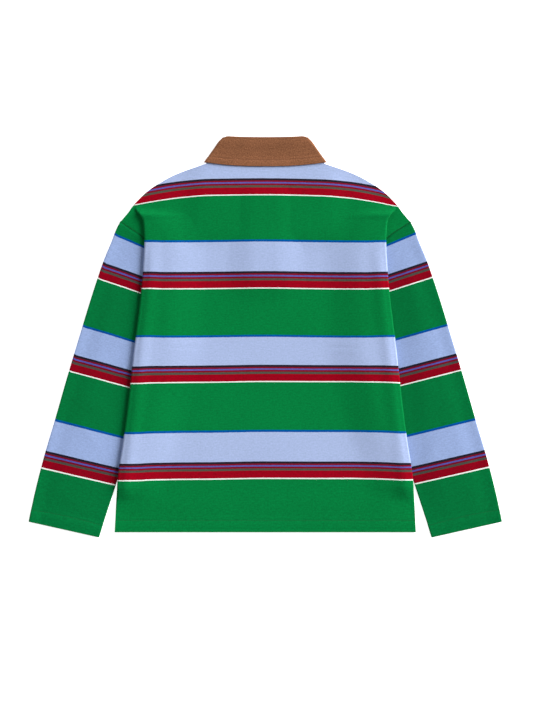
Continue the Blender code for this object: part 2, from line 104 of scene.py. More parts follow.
# the phase of the stripes, in repeats, down the middle of the back
backLines = {
    "y": (-362.0, -261.1, -231.3, -172.4, -82.2, -52.7, 3.3, 90.5, 120.3, 179.3, 262.7, 291.9,
          350.0),
    "phase": (-2.98, -2.504, -2.3345, -2.0, -1.504, -1.3345, -1.0, -0.504, -0.3345, 0.0, 0.496,
              0.6655, 1.0)}

# how far the lines hang below that at each side, near the neck, at the chest and at the hem
lineSag = {
    "x": (-248.0, -232.0, -214.0, -186.0, -158.0, -103.0, 0.0, 101.0, 156.0, 184.0, 212.0, 234.0,
          248.0),
    "neck": (23.3, 18.7, 14.4, 9.3, 5.4, 1.1, 0.0, 1.9, 6.1, 10.4, 16.1, 22.4, 26.0),
    "chest": (0.6, 0.6, 0.6, 1.5, 1.5, 1.1, 0.0, 1.3, 1.8, 1.8, 0.9, 0.5, 0.5),
    "hem": (4.4, 4.1, 3.0, 2.4, 1.9, 1.5, 0.0, 0.2, 0.1, 0.5, 1.1, 2.0, 2.8)}
# shares of the sag near the neck and of that at the hem; the sag at the chest has the rest
sagShare = {"y": (-362.0, -82.0, 3.0, 182.0, 262.0, 350.0),
            "neck": (0.0, 0.0, 0.0, 0.04, 1.0, 1.0),
            "hem": (1.0, 0.85, 0.1, 0.0, 0.0, 0.0)}

# the same on a sleeve, for the height of each line at crossX, and the slope of the line there
sleeveLines = {
    "crossX": 287.7, "leftUp": 1.8, "rightUp": 3.0, "firstSlope": 0.3, "passes": 5,
    "y": (-375.0, -272.0, -240.3, -178.5, -83.1, -51.8, 6.5, 100.5, 131.9, 193.9, 285.0),
    "phase": (-2.97, -2.504, -2.3345, -2.0, -1.504, -1.3345, -1.0, -0.504, -0.3345, 0.0, 0.45),
    "slope": (0.22, 0.227, 0.23, 0.245, 0.255, 0.26, 0.283, 0.32, 0.335, 0.42, 0.45)}

# soft ridges and troughs of the back: place, heading in degrees, half length and half width, and
# how much they all bend
creases = {
    "bend": 0.0008,
    "x": (-150.0, -60.0, 95.0, 175.0, -185.0, 30.0, 150.0, -110.0, 200.0, -205.0, 60.0, -20.0),
    "y": (40.0, -60.0, 30.0, 110.0, 150.0, 170.0, -150.0, -190.0, -40.0, -100.0, -270.0, 90.0),
    "heading": (82.0, 95.0, 100.0, 70.0, 112.0, 8.0, 84.0, 97.0, 88.0, 94.0, 80.0, 150.0),
    "half": (120.0, 150.0, 130.0, 70.0, 60.0, 90.0, 110.0, 100.0, 130.0, 120.0, 70.0, 90.0),
    "width": (24.0, 30.0, 28.0, 20.0, 18.0, 26.0, 26.0, 30.0, 15.0, 16.0, 24.0, 30.0),
    "height": (0.12, -0.25, 0.15, 0.08, -0.05, 0.15, -0.25, 0.25, 0.15, 0.2, 0.2, 0.12)}


# 0 below 0, 1 above 1, and the cubic S between
def smoothStep(value):
    v = np.clip(value, 0.0, 1.0)
    return v * v * (3.0 - 2.0 * v)


# a cubic through the points with the harmonic mean of the two slopes at each; xs rise
def smoothThrough(xs, ys, at):
    xs, ys, at = (np.asarray(v, float) for v in (xs, ys, at))
    step = np.diff(xs)
    rise = np.diff(ys) / step
    both = rise[:-1] * rise[1:]
    mean = 2.0 * both / np.where(both > 0, rise[:-1] + rise[1:], 1.0)
    slope = np.concatenate([rise[:1], np.where(both > 0, mean, 0.0), rise[-1:]])
    i = np.clip(np.searchsorted(xs, at) - 1, 0, len(step) - 1)
    t = np.clip((at - xs[i]) / step[i], 0.0, 1.0)
    low = ys[i] * (1 + 2 * t) * (1 - t) ** 2 + ys[i + 1] * t * t * (3 - 2 * t)
    return low + step[i] * (slope[i] * t * (1 - t) ** 2 - slope[i + 1] * t * t * (1 - t))


# a column of a table at heights y, by that cubic
def column(table, name, y):
    return smoothThrough(table["y"], table[name], y)


# vectors divided by their lengths
def unit(vectors):
    return vectors / np.linalg.norm(vectors, axis=-1, keepdims=True)


# heights of all rows and their place among the rows of rowYs, each gap cut into equal steps
def fineRows(ys, step):
    counts = np.maximum(1, np.ceil(np.abs(np.diff(ys)) / step)).astype(int)
    marks = np.concatenate([[0], np.cumsum(counts)])
    place = np.interp(np.arange(marks[-1] + 1), marks, np.arange(len(ys)))
    return np.interp(place, np.arange(len(ys)), ys), place


# the lay of the rows at heights y: where each folds, how far it turns under, and where it ends;
# the cut's half width less the flat part and the fold's arcs is what lies turned under
def bodyRows(y):
    b = body
    radius = b["foldRadius"]
    hem = smoothStep((b["hemY"] + b["hemDepth"] - y) / b["hemSoft"] + 0.5)
    wall = b["cloth"] + (b["hemCloth"] - b["cloth"]) * hem
    halfPair = wall + b["layerGap"] / 2
    angle = np.radians(column(turn, "angle", y))
    edge = column(bodyEdge, "half", y)
    top = y > bodyEdge["y"][-1] - b["near"]
    side = y < b["underarmY"]
    start = edge - (halfPair + radius) * np.sin(np.minimum(angle, np.pi / 2))
    start = np.where(side & (angle < b["flatAngle"]), edge, start)
    seam = np.where(y > b["shoulderY"], column(outline, "half", y), column(armhole, "half", y))
    capShare = smoothStep((b["capY"] - y) / (b["capY"] - b["shoulderY"]))
    cap = np.where(y > armhole["y"][-1], b["capUnder"] * capShare,
                   start - column(armhole, "inner", y))
    after = seam - (start + 2 * radius * np.sin(angle) + cap * np.cos(angle))
    share = (b["underarmY"] - y) / (b["underarmY"] - b["hemY"])
    cutHalf = b["chestHalf"] + (b["hemHalf"] - b["chestHalf"]) * share
    endAngle = np.where(side, angle * smoothStep((b["underarmY"] - y) / b["sideRamp"]), 0.0)
    tuck = np.maximum(cutHalf - start - radius * (2 * angle - endAngle), 0.0)
    tuck = tuck * smoothStep((y - b["tuckY"]) / b["tuckRamp"])
    raised = smoothStep((y - b["restY"]) / b["restRamp"]) * radius * (1 - np.cos(endAngle))
    start = np.where(top, column(outline, "half", y), start)
    under = np.where(top, 0.0, np.where(side, tuck, cap))
    floor = halfPair + np.where(side, raised, 0.0)
    drop = radius * (1 - np.cos(angle)) + under * np.sin(angle)
    drop = drop + radius * (np.cos(endAngle) - np.cos(angle))
    full = np.where(angle > b["flatAngle"],
                    start - under - radius - halfPair - b["coverMargin"], start)
    return {"y": y, "wall": wall, "halfPair": halfPair, "angle": angle, "start": start,
            "under": under, "after": np.where(top | side, 0.0, after), "endAngle": endAngle,
            "lift": floor + drop - halfPair, "full": full}


# 0 where the body lies on the surface, 1 where it lies over the sleeve
def coverShare(x, rows):
    return smoothStep((x - rows["full"] + body["coverRamp"]) / body["coverRamp"])


# the collar's front leaves, and the placket with its two bands: both lift the front, which
# sinks to the surface beyond them over a ramp
leaf = {"x": 114.0, "y": 200.0, "lift": 2.2, "ramp": 45.0}
placket = {
    "half": 15.0, "top": 261.0, "bottom": 126.0, "lift": 3.8, "beside": 4.0, "below": 8.0,
    "ramp": 60.0, "slitMargin": 2.0, "slitRamp": 40.0, "roll": 1.0, "rollCell": 0.4,
    "rimShare": 0.5, "inset": 2.6, "insetTop": 2.0, "columns": 25, "rows": 90}


# height of the front's underside: over the sleeves, over the collar's leaves, and the placket
def frontLift(x, y, rows):
    p = placket
    edge = rows["lift"] * coverShare(x, rows)
    fromLeaf = np.hypot(np.maximum(x - leaf["x"], 0.0), np.maximum(leaf["y"] - y, 0.0))
    overLeaf = leaf["lift"] * (1 - smoothStep(fromLeaf / leaf["ramp"]))
    beside = 1 - smoothStep((x - p["half"] - p["beside"]) / p["ramp"])
    below = 1 - smoothStep((p["bottom"] - p["below"] - y) / p["ramp"])
    above = 1 - smoothStep((y - body["frontNeckY"] - p["slitMargin"]) / p["slitRamp"])
    return edge + np.maximum(overLeaf, p["lift"] * beside * below * above)


# room between front and back: the least at the edges, the most in the middle of the body
def pairGap(x, y, rows):
    b = body
    fromEdge = smoothStep((rows["start"] - x) / b["pairRamp"])
    fromHem = smoothStep((y - b["hemY"]) / b["pairRamp"])
    fromNeck = smoothStep((b["neckY"] - y) / b["neckRamp"])
    covered = np.minimum(rows["lift"] / b["fullLift"], 1.0) * coverShare(x, rows)
    left = 1 - b["coveredLoft"] * covered
    return b["layerGap"] + b["loft"] * fromEdge * fromHem * fromNeck * left


# distances along each row's cloth: equal steps in its flat, fold, under, fold and end parts, of
# which the last four are kept as wide as so many least cells
def rowStations(rows, first, cells):
    radius = body["foldRadius"]
    m0 = rows["start"]
    m1 = m0 + radius * rows["angle"]
    m2 = m1 + rows["under"]
    m3 = m2 + radius * (rows["angle"] - rows["endAngle"])
    m4 = m3 + rows["after"]
    least = body["leastCell"] + body["openCell"] * (1 - np.sin(rows["angle"] / 2))
    fold, under, foldBack, end = (count * least for count in body["leastCells"])
    b3 = np.minimum(m3, m4 - end)
    b2 = np.minimum(m2, b3 - foldBack)
    b1 = np.minimum(m1, b2 - under)
    b0 = np.minimum(m0, b1 - fold)
    breaks = (0 * b0 + first, b0, b1, b2, b3, m4)
    parts = [low + (high - low) * np.arange(count) / count
             for low, high, count in zip(breaks[:-1], breaks[1:], cells)]
    return np.concatenate(parts + [m4], axis=1)


# middle of the two layers along each row, its normal and the room between them: flat cloth, an
# arc turned down, a straight stretch turned under, an arc back, and a straight stretch to the seam
def rowPath(rows, s, yInner):
    r, a, e = body["foldRadius"], rows["angle"], rows["endAngle"]
    m1 = rows["start"]
    m2 = m1 + r * a
    m3 = m2 + rows["under"]
    m4 = m3 + r * (a - e)
    length = m4 + rows["after"]
    y = yInner + (rows["y"] - yInner) * (np.minimum(s, length) / length) ** body["neckCurve"]
    gap = pairGap(s, y, rows)
    x = np.minimum(s, m1)
    z = np.where(s > m1, rows["lift"] + rows["halfPair"],
                 frontLift(x, y, rows) + rows["wall"] + gap / 2)
    t = np.clip((s - m1) / r, 0.0, a)
    u = np.clip(s - m2, 0.0, rows["under"])
    b = a - np.clip((s - m3) / r, 0.0, a - e)
    v = np.maximum(s - m4, 0.0)
    x = x + r * np.sin(t) + u * np.cos(a) + r * (np.sin(a) - np.sin(b)) + v * np.cos(e)
    z = z - r * (1 - np.cos(t)) - u * np.sin(a) - r * (np.cos(b) - np.cos(a)) - v * np.sin(e)
    heading = np.where(s > m3, b, t)
    mid = np.stack([x, y, z], axis=-1)
    normal = np.stack([np.sin(heading), 0 * x, np.cos(heading)], axis=-1)
    return mid, normal, np.where(s > m1, body["layerGap"], gap)


sideRoll = {"height": 1.8, "at": 13.0, "start": 8.0, "top": 215.0, "fade": 120.0}


# the roll of the back's cloth just inside the side fold: a bell that starts at the fold, and is
# there only where the cloth turns under
def rollHeight(s, rows):
    inside = rows["start"] - s
    bell = np.exp(-((inside - sideRoll["at"]) / sideRoll["at"]) ** 2)
    bell = bell * smoothStep(inside / sideRoll["start"])
    below = smoothStep((sideRoll["top"] - rows["y"]) / sideRoll["fade"])
    return sideRoll["height"] * bell * below * smoothStep(rows["angle"] / np.pi)


# a half grid and its mirror side by side; shared says that they meet in one column
def bothHalves(grid, shared, flip):
    mirror = grid[:, ::-1] * np.asarray(flip)
    return np.concatenate([mirror[:, :-1] if shared else mirror, grid], axis=1)


# a sum of soft ridges, each a bell across its width that fades out along its length
def creaseHeight(x, y):
    place = {key: np.asarray(values) for key, values in creases.items()}
    dx, dy = x[..., None] - place["x"], y[..., None] - place["y"]
    way = np.radians(place["heading"])
    along = dx * np.cos(way) + dy * np.sin(way)
    across = dy * np.cos(way) - dx * np.sin(way) + place["bend"] * along ** 2
    bell = np.exp(-(across / place["width"]) ** 2 - (along / place["half"]) ** 4)
    return (place["height"] * bell).sum(axis=-1)


# phase of the body's stripes at a place in plan: the line through it sags towards the sides, by
# shares of three sags, near the neck, at the chest and at the hem
def bodyPhase(x, y):
    neck, hem = column(sagShare, "neck", y), column(sagShare, "hem", y)
    sag = {name: smoothThrough(lineSag["x"], lineSag[name], x)
           for name in ("neck", "chest", "hem")}
    drop = neck * sag["neck"] + hem * sag["hem"] + (1 - neck - hem) * sag["chest"]
    return column(backLines, "phase", y + drop)


# phase of a sleeve's stripes: each line is straight, and its slope comes from where it crosses
def sleevePhase(x, y):
    away = sleeveLines["crossX"] - np.abs(x)
    y = y - np.where(x > 0, sleeveLines["rightUp"], sleeveLines["leftUp"])
    cross = y + sleeveLines["firstSlope"] * away
    for _ in range(sleeveLines["passes"]):
        cross = y + column(sleeveLines, "slope", cross) * away
    return column(sleeveLines, "phase", cross)


# way down the cloth, from its phase in repeats
def downCloth(phase):
    return (stripes["above"] - phase) * stripes["repeat"]


# share of its full thickness that a wall has at a distance from its rim: a quarter of an ellipse
def rimShare(distance, reach=1.0, least=0.45):
    away = 1 - np.minimum(distance / reach, 1.0)
    return least + (1 - least) * np.sqrt(1 - away ** 2)


# a closed wall between two grids that face each other: quads on both, and a strip round each
# open edge; rows run down and columns to the right seen from top's side; ring closes a tube
def wallFaces(shape, cells=None, ring=False):
    rows, columns = shape
    across = columns if ring else columns - 1
    index = np.arange(rows * columns).reshape(rows, columns)
    spot = np.arange(rows * (across + 1)).reshape(rows, across + 1)
    if ring:
        index = np.concatenate([index, index[:, :1]], axis=1)
    if cells is None:
        cells = np.ones((rows - 1, across), bool)
    edge = np.pad(cells, 1)
    if ring:
        edge[:, 0], edge[:, -1] = edge[:, -2].copy(), edge[:, 1].copy()
    nextTo = (edge[1:-1, :-2], edge[2:, 1:-1], edge[1:-1, 2:], edge[:-2, 1:-1])
    faces, spots = [], []
    for grid, low, out in ((index, rows * columns, faces), (spot, 0, spots)):
        quads = np.stack([grid[:-1, :-1], grid[1:, :-1], grid[1:, 1:], grid[:-1, 1:]], axis=-1)
        out += [quads[cells], quads[cells][:, ::-1] + low]
        for k, beside in enumerate(nextTo):
            border = quads[cells & ~beside]
            p, n = border[:, k], border[:, (k + 1) % 4]
            out.append(np.stack([n, p, p + low, n + low], axis=-1))
    return np.concatenate(faces), np.concatenate(spots)


# a smooth piece from points in millimetres and faces; its edges are sharp past an angle in degrees
def addMesh(name, points, faces, finish, uv=None, sharp=75.0):
    mesh = bpy.data.meshes.new(name)
    mesh.from_pydata((points.reshape(-1, 3) * mm).tolist(), [], faces)
    if uv is not None:
        mesh.uv_layers.new(name="cloth").data.foreach_set("uv", (uv * mm).ravel())
    mesh.polygons.foreach_set("use_smooth", np.ones(len(faces), bool))
    mesh.set_sharp_from_angle(angle=np.radians(sharp))
    mesh.materials.append(finish)
    piece = bpy.data.objects.new(name, mesh)
    bpy.context.collection.objects.link(piece)
    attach(piece, "root")
    return piece


# top and low are grids of points; uv is a grid of cloth coordinates, one column wider on a ring
def addWall(name, top, low, uv, finish, cells=None, ring=False):
    faces, spots = wallFaces(top.shape[:2], cells, ring)
    points = np.concatenate([top.reshape(-1, 3), low.reshape(-1, 3)])
    return addMesh(name, points, faces.tolist(), finish, uv.reshape(-1, 2)[spots])


# a socket of a finish, so that its maths reads as an expression
class Value:
    def __init__(self, finish, socket):
        self.finish, self.socket = finish, socket

    def math(self, operation, *others):
        sockets = {n: v for n, v in enumerate((self, *others))}
        return self.finish.node("Math", {"operation": operation}, sockets)

    def __add__(self, other):
        return self.math("ADD", other)

    def __sub__(self, other):
        return self.math("SUBTRACT", other)

    def __mul__(self, other):
        return self.math("MULTIPLY", other)

    def __truediv__(self, other):
        return self.math("DIVIDE", other)

    def __rsub__(self, other):
        return self.finish.node("Math", {"operation": "SUBTRACT"}, {0: other, 1: self})

    __radd__, __rmul__ = __add__, __mul__


# a material with one Principled shader, whose sockets are set by name
class Finish:
    def __init__(self, name, **shader):
        self.material = bpy.data.materials.new(name)
        self.material.use_nodes = True
        self.tree = self.material.node_tree
        self.shader = self.tree.nodes["Principled BSDF"]
        for key, value in shader.items():
            self.shader.inputs[key.replace("_", " ")].default_value = value

    # settings first, then the values or links of the sockets; gives the named output
    def node(self, kind, settings, sockets, output=0):
        made = self.tree.nodes.new("ShaderNode" + kind)
        for key, value in settings.items():
            if key == "stops":
                ramp = made.color_ramp
                ramp.interpolation = "CONSTANT"
                for n, (place, colour) in enumerate(value):
                    stop = ramp.elements[n] if n < 2 else ramp.elements.new(place)
                    stop.position, stop.color = place, colour
            else:
                setattr(made, key, value)
        for key, value in sockets.items():
            if isinstance(value, Value):
                self.tree.links.new(value.socket, made.inputs[key])
            else:
                made.inputs[key].default_value = value
        return Value(self, made.outputs[output])

    def feed(self, name, value):
        self.tree.links.new(value.socket, self.shader.inputs[name])

    # one colour multiplied by another, a share of the way
    def shade(self, share, colour, other):
        settings = {"data_type": "RGBA", "blend_type": "MULTIPLY"}
        return self.node("Mix", settings, {0: share, 6: colour, 7: other}, 2)

    def noise(self, vector, scale, detail=2.0):
        return self.node("TexNoise", {}, {"Vector": vector, "Scale": scale, "Detail": detail})

    def grey(self, value):
        return self.node("CombineColor", {}, {0: value, 1: value, 2: value})


dye = {
    "green": (0.0004, 0.166, 0.0375, 1.0), "sky": (0.336, 0.412, 0.630, 1.0),
    "royal": (0.0008, 0.072, 0.290, 1.0), "navy": (0.018, 0.012, 0.022, 1.0),
    "wine": (0.190, 0.004, 0.014, 1.0), "violet": (0.078, 0.085, 0.345, 1.0),
    "sage": (0.066, 0.064, 0.050, 1.0), "red": (0.268, 0.0004, 0.0085, 1.0),
    "cream": (0.730, 0.760, 0.730, 1.0), "brown": (0.215, 0.088, 0.042, 1.0),
    "ivory": (0.62, 0.58, 0.50, 1.0)}
knit = {
    "wale": 1.15, "course": 0.95, "lean": 0.6, "fuzz": 0.6, "depth": 0.00022, "strength": 0.35,
    "stretch": (0.2, 1.0, 1.0), "streakScale": 520.0, "mottleScale": 330.0, "cloudScale": 9.0,
    "streak": 0.6, "mottle": 0.85, "cloud": 0.16,   # how uneven the colour is
    "calm": 1.35, "least": 0.2,                     # a pale colour is less uneven, to a least share
    "waver": 0.003,                                 # of a stripe's edge, in repeats
    # painted shade: the sleeves' copy of the jersey is multiplied darker, as the sleeves took less
    # light than the body
    "rough": 0.9, "roughVary": 0.2, "sleevePaintedShade": (0.78, 0.84, 0.92, 1.0)}


# jersey: the stripes by how far down the cloth a point is, streaked and mottled a little, over
# small V shaped stitches in columns; every yarn but the cream one is multiplied by a painted shade
def jerseyFinish(name, paintedShade=(1.0, 1.0, 1.0, 1.0)):
    finish = Finish(name, Roughness=knit["rough"], Specular_IOR_Level=0.03, Sheen_Weight=0.015,
                    Sheen_Roughness=0.5)
    cloth = finish.node("UVMap", {"uv_map": "cloth"}, {})
    across = finish.node("SeparateXYZ", {}, {0: cloth}, 0)
    down = finish.node("SeparateXYZ", {}, {0: cloth}, 1)
    stretched = finish.node("VectorMath", {"operation": "MULTIPLY"},
                            {0: cloth, 1: knit["stretch"]})
    streak = finish.noise(stretched, knit["streakScale"])
    mottle = finish.noise(cloth, knit["mottleScale"], 4.0)
    cloud = finish.noise(cloth, knit["cloudScale"])
    place = (down / (stripes["repeat"] * mm) + (mottle - 0.5) * knit["waver"]).math("FRACT")
    stops = [(start / stripes["repeat"], [a * b for a, b in zip(dye[yarn], paintedShade)]
              if yarn != "cream" else dye[yarn])
             for start, yarn in zip(stripes["start"], stripes["colour"])]
    colour = finish.node("ValToRGB", {"stops": stops}, {0: place})
    pale = finish.node("RGBToBW", {}, {0: colour})
    uneven = ((streak - 0.5) * knit["streak"] + (mottle - 0.5) * knit["mottle"]
              + (cloud - 0.5) * knit["cloud"])
    shade = uneven * (1.0 - pale * knit["calm"]).math("MAXIMUM", knit["least"]) + 1.0
    colour = finish.shade(1.0, colour, finish.grey(shade))
    side = ((across / (knit["wale"] * mm)).math("FRACT") - 0.5).math("ABSOLUTE") * 2.0
    loop = (down / (knit["course"] * mm) + side * knit["lean"]).math("FRACT") * np.pi
    height = (1.0 - side * side) * (loop.math("SINE") * 0.5 + 0.5) + mottle * knit["fuzz"]
    finish.feed("Base Color", colour)
    finish.feed("Normal", finish.node("Bump", {}, {
        "Strength": knit["strength"], "Distance": knit["depth"], "Height": height}))
    finish.feed("Roughness", (mottle - 0.5) * knit["roughVary"] + knit["rough"])
    return finish.material


ribKnit = {
    "rib": 1.7, "course": 1.1, "mottleScale": 420.0, "cloudScale": 25.0, "mottle": 2.0,
    "cloud": 0.35, "ribGroovePaintedShade": 0.03, "base": 0.98,
    # painted highlight: the band below the stitches is painted paler, for the light that the thick
    # free edge catches
    "edgeAt": 84.0, "edgeRamp": 2.0, "edgeHighlight": 0.10,   # paler from here down to the free edge
    "ribHeight": 0.7, "stitchHeight": 0.2, "fuzz": 0.8, "depth": 0.0003, "strength": 0.5,
    "rough": 0.92, "roughVary": 0.15}


# flat-knit rib: fine upright ribs with painted shade in their grooves, a painted highlight along
# the free edge, and the brown a little uneven
def ribFinish():
    r = ribKnit
    finish = Finish("brown_rib", Roughness=r["rough"], Specular_IOR_Level=0.05, Sheen_Weight=0.03,
                    Sheen_Roughness=0.5)
    cloth = finish.node("UVMap", {"uv_map": "cloth"}, {})
    across = finish.node("SeparateXYZ", {}, {0: cloth}, 0)
    down = finish.node("SeparateXYZ", {}, {0: cloth}, 1)
    mottle = finish.noise(cloth, r["mottleScale"], 4.0)
    cloud = finish.noise(cloth, r["cloudScale"])
    rib = (across / (r["rib"] * mm)).math("FRACT") * (2 * np.pi)
    course = (down / (r["course"] * mm)).math("FRACT") * (2 * np.pi)
    edge = finish.node("MapRange", {"interpolation_type": "SMOOTHSTEP"}, {
        0: down, 1: r["edgeAt"] * mm, 2: (r["edgeAt"] + r["edgeRamp"]) * mm})
    # painted shade: the tone dips with the ribs' relief, darker in their grooves
    tone = ((mottle - 0.5) * r["mottle"] + (cloud - 0.5) * r["cloud"]
            + rib.math("COSINE") * r["ribGroovePaintedShade"] + r["base"])
    colour = finish.shade(1.0, dye["brown"], finish.grey(tone + edge * r["edgeHighlight"]))
    height = (rib.math("COSINE") * r["ribHeight"] + course.math("COSINE") * r["stitchHeight"]
              + mottle * r["fuzz"])
    finish.feed("Base Color", colour)
    finish.feed("Normal", finish.node("Bump", {}, {
        "Strength": r["strength"], "Distance": r["depth"], "Height": height}))
    finish.feed("Roughness", (mottle - 0.5) * r["roughVary"] + r["rough"])
    return finish.material


thread = {"plies": 900.0, "fleck": 600.0, "fleckShade": 0.3, "plyPaintedShade": 0.15, "base": 0.92,
          "depth": 0.0001, "strength": 0.4, "rough": 0.75}


# thread: fine slanted plies, with painted shade in their grooves
def threadFinish(name, colour):
    finish = Finish(name, Roughness=thread["rough"], Specular_IOR_Level=0.25)
    spot = finish.node("TexCoord", {}, {}, 3)
    plies = finish.node("TexWave", {"bands_direction": "DIAGONAL"},
                        {0: spot, "Scale": thread["plies"]})
    fleck = finish.noise(spot, thread["fleck"])
    # painted shade: the tone follows the plies' relief, darker in their grooves
    tone = (fleck - 0.5) * thread["fleckShade"] + plies * thread["plyPaintedShade"] + thread["base"]
    finish.feed("Base Color", finish.shade(1.0, colour, finish.grey(tone)))
    finish.feed("Normal", finish.node("Bump", {}, {
        "Strength": thread["strength"], "Distance": thread["depth"], "Height": plies}))
    return finish.material


plastic = {"swirl": 160.0, "distortion": 1.5, "swirlShade": 0.3, "rough": 0.26,
           "roughVary": 0.2, "grain": 2500.0, "depth": 0.0001, "strength": 0.1}


# button: ivory plastic with a faint swirl
def buttonFinish():
    finish = Finish("ivory_button", Specular_IOR_Level=0.5)
    spot = finish.node("TexCoord", {}, {}, 3)
    swirl = finish.node("TexNoise", {}, {
        "Vector": spot, "Scale": plastic["swirl"], "Detail": 3.0,
        "Distortion": plastic["distortion"]})
    fine = finish.noise(spot, plastic["grain"])
    tone = (swirl - 0.5) * plastic["swirlShade"] + 1.0
    finish.feed("Base Color", finish.shade(1.0, dye["ivory"], finish.grey(tone)))
    finish.feed("Roughness", swirl * plastic["roughVary"] + plastic["rough"])
    finish.feed("Normal", finish.node("Bump", {}, {
        "Strength": plastic["strength"], "Distance": plastic["depth"], "Height": fine}))
    return finish.material


paint = {"grey": 0.9, "grain": 40.0, "grainShade": 0.01, "glow": 0.8, "rough": 0.95}


# floor: smooth pale paint with a trace of grain
def floorFinish():
    finish = Finish("pale_floor", Roughness=paint["rough"], Specular_IOR_Level=0.0,
                    Emission_Color=(1.0, 1.0, 1.0, 1.0), Emission_Strength=paint["glow"])
    spot = finish.node("TexCoord", {}, {}, 3)
    grain = finish.noise(spot, paint["grain"])
    finish.feed("Base Color", finish.grey((grain - 0.5) * paint["grainShade"] + paint["grey"]))
    return finish.material


stitch = {"pitch": 3.0, "length": 2.5, "width": 0.7, "height": 0.3, "sink": 0.05, "rings": 5,
          "tipSine": 0.12, "roundness": 0.6, "ahead": 0.5, "sharp": 70.0}
hexagon = 6     # sides of a stitch


# stitches along a line on a surface, given by its points and normals: short capsules whose
# profile is a half ellipse along their length, six sided, laid at equal distances
def addStitches(name, lines, finish):
    rings, count = stitch["rings"], stitch["rings"] * hexagon
    t = np.linspace(0.0, np.pi, rings)
    around = np.arange(hexagon) * 2 * np.pi / hexagon
    along = np.broadcast_to(-np.cos(t)[:, None], (rings, hexagon)) * stitch["length"] / 2
    reach = np.maximum(np.sin(t), stitch["tipSine"])[:, None] ** stitch["roundness"]
    across = reach * np.cos(around) * stitch["width"] / 2
    up = reach * np.sin(around) * stitch["height"] / 2 + stitch["sink"]
    ring = np.arange(count).reshape(rings, hexagon)
    after = np.roll(ring, -1, axis=1)
    sides = np.stack([ring[:-1], after[:-1], after[1:], ring[1:]], axis=-1).reshape(-1, 4)
    first, last = ring[0], ring[-1]
    caps = np.stack([first[[0, 3, 2, 1]], first[[0, 5, 4, 3]], last[:4], last[[0, 3, 4, 5]]])
    template = np.concatenate([sides, caps])
    points, faces = [], []
    for line, normals in lines:
        walk = np.concatenate([[0.0], np.cumsum(np.linalg.norm(np.diff(line, axis=0), axis=1))])
        number = int(walk[-1] / stitch["pitch"])
        at = (np.arange(number) + 0.5) * walk[-1] / number
        spot, ahead, top = (
            np.stack([np.interp(place, walk, part[:, k]) for k in range(3)], axis=-1)
            for place, part in ((at, line), (at + stitch["ahead"], line), (at, normals)))
        way, top = unit(ahead - spot), unit(top)
        side = np.cross(top, way)
        laid = (spot[:, None] + along.reshape(-1, 1) * way[:, None]
                + across.reshape(-1, 1) * side[:, None] + up.reshape(-1, 1) * top[:, None])
        start = sum(len(part) for part in points)
        points.append(laid.reshape(-1, 3))
        faces.append((template + np.arange(number)[:, None, None] * count).reshape(-1, 4) + start)
    return addMesh(name, np.concatenate(points), np.concatenate(faces).tolist(), finish,
                   sharp=stitch["sharp"])


# a soft groove pressed into the cloth along a seam or a line of stitches: a bell across it
def groove(distance, width=1.2, depth=0.4):
    return -depth * np.exp(-(distance / width) ** 2)


seamPress = {"width": 1.6, "depth": 0.5, "fade": 4.0}   # of the back at the armhole
jersey = jerseyFinish("striped_jersey")


# middle line, normal, room and cloth coordinates of front or back over its whole width
def bodyLay(cells, first, innerYs):
    ys, place = fineRows(rowYs, body["rowStep"])
    rows = bodyRows(ys[:, None])
    s = rowStations(rows, first, cells)
    mid, normal, gap = rowPath(rows, s, innerYs(ys, place)[:, None])
    roll = rollHeight(s, rows)
    beside = smoothStep((ys - body["underarmY"]) / seamPress["fade"]) * (ys <= body["shoulderY"])
    press = groove(s[:, -1:] - s, seamPress["width"], seamPress["depth"]) * beside[:, None]
    shared = first == 0.0
    flip = (-1.0, 1.0, 1.0)
    mid, normal = bothHalves(mid, shared, flip), bothHalves(normal, shared, flip)
    gap, roll, press, s = (bothHalves(v[..., None], shared, (sign,))[..., 0]
                           for v, sign in ((gap, 1.0), (roll, 1.0), (press, 1.0), (s, -1.0)))
    uv = np.stack([s, downCloth(bodyPhase(mid[..., 0], mid[..., 1]))], axis=-1)
    wall = rows["wall"] * rimShare(ys - body["hemY"])[:, None]
    return {"mid": mid, "normal": normal, "gap": gap, "roll": roll, "press": press, "uv": uv,
            "wall": wall, "ys": ys, "place": place, "full": rows["wall"]}


# where each row crosses the centre line: the back's rows drop a little towards the neck
def backInner(ys, place):
    return ys - body["backNeckDrop"] * (1 - np.clip(place / body["levelRow"], 0.0, 1.0))


# the front's rows fan out from the level row to the neck scoop
def frontInner(ys, place):
    fan = np.clip(place / body["levelRow"], 0.0, 1.0)
    levelY = rowYs[body["levelRow"]]
    sloped = body["frontNeckY"] + (levelY - body["frontNeckY"]) * fan
    return np.where(place > body["levelRow"], ys, sloped)


hemLine = body["hemY"] + body["hemDepth"]
leastRoom = 0.3     # between the raised back and the front
lay = bodyLay(body["backCells"], 0.0, backInner)
x, y = lay["mid"][..., 0], lay["mid"][..., 1]
raised = creaseHeight(x, y) + lay["roll"]
raised = np.maximum(raised, leastRoom - lay["gap"])[..., None]
half, wall = (lay["gap"] / 2)[..., None], lay["wall"][..., None]
slack = (lay["full"] - lay["wall"])[..., None] / 2
press = (lay["press"] + groove(y - hemLine))[..., None]
backTop = lay["mid"] + lay["normal"] * (half + raised + slack + wall + press)
backLow = lay["mid"] + lay["normal"] * (half + raised + slack)
back = addWall("back", backTop, backLow, lay["uv"], jersey)
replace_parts(back, "back_panel")
hemRow = int(np.argmin(np.abs(lay["ys"] - hemLine)))
hemLines = [(backTop[hemRow], lay["normal"][hemRow])]
seamRows = (lay["ys"] <= body["shoulderY"]) & (lay["ys"] >= body["underarmY"])
seamLines = [(backTop[seamRows, end], lay["normal"][seamRows, end]) for end in (0, -1)]
print("back made")

